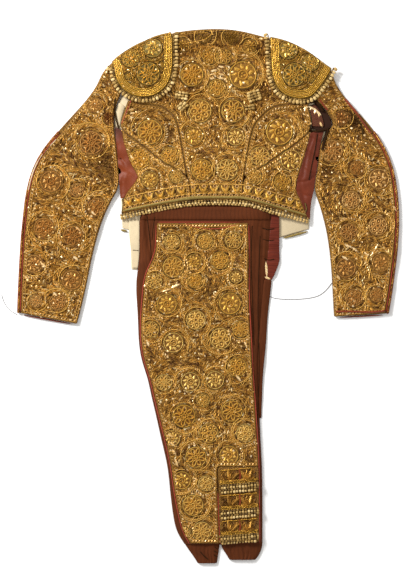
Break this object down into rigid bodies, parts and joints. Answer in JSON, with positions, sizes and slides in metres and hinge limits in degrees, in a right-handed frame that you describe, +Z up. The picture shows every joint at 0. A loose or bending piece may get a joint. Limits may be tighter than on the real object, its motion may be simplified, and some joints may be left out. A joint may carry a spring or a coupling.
{
  "type": "suit of lights",
  "caption": "Bullfighter's suit laid flat: gold-embroidered jacket back up with fringed shoulder plates, over folded rust breeches with an embroidered side panel.",
  "frame": {"origin": "middle of the garment's box on the floor it lies on", "axes": "+Y towards the neck, +X towards the wearer's right sleeve, +Z up from the floor"},
  "size_m": [0.9373, 1.2562, 0.0256],
  "materials": {
    "gold_work": "metal-thread embroidery with sequins on reddish-brown satin",
    "plate_gold": "raised gold couching on a padded plate",
    "coral_satin": "worn satin",
    "rust_cloth": "matt knitted silk",
    "cream_lining": "plain matt cotton",
    "dark_lining": "plain dark lining",
    "fringe_beads": "thread-wrapped bobbles",
    "braid_gold": "tarnished gold braid",
    "red_piping": "satin piping",
    "grey_thread": "sewing thread"
  },
  "bodies": {
    "root": {"back_centre": "gold_work", "back_upper_left": "gold_work", "back_upper_right": "gold_work", "back_lower_left": "gold_work", "back_lower_right": "gold_work", "collar": "gold_work", "gusset_left": "coral_satin", "gusset_right": "coral_satin", "front_left": "cream_lining", "front_right": "cream_lining", "front_hem_trim_left": "braid_gold", "front_hem_trim_right": "braid_gold", "armhole_lining_left": "cream_lining", "armhole_tongue_right": "gold_work", "armhole_lining_right": "dark_lining", "sleeve_under_left": "gold_work", "sleeve_under_right": "gold_work", "sleeve_top_left": "gold_work", "sleeve_top_right": "gold_work", "sleeve_strip_left": "coral_satin", "sleeve_strip_right": "coral_satin", "sleeve_piping_left": "red_piping", "sleeve_piping_right": "red_piping", "cuff_edge_left": "red_piping", "cuff_edge_right": "red_piping", "shoulder_plate_left": "plate_gold", "shoulder_plate_right": "plate_gold", "plate_fringe_left": "fringe_beads", "plate_fringe_right": "fringe_beads", "tassel_left": "fringe_beads", "tassel_right": "fringe_beads", "hem_braid": "braid_gold", "hem_fringe": "fringe_beads", "breeches_core": "rust_cloth", "leg_cloth": "rust_cloth", "waist_band": "rust_cloth", "leg_panel": "gold_work", "knee_flap": "gold_work", "panel_piping_left": "red_piping", "panel_piping_top": "red_piping", "panel_piping_right": "red_piping", "slit_piping": "red_piping", "knee_fringe_1": "fringe_beads", "knee_fringe_2": "fringe_beads", "knee_fringe_3": "fringe_beads", "leg_cuff_front": "rust_cloth", "leg_cuff_back": "rust_cloth", "under_leg": "rust_cloth", "waist_tab": "coral_satin", "waist_lining": "cream_lining", "thread_left": "grey_thread", "thread_right": "grey_thread"}
  },
  "joints": []
}
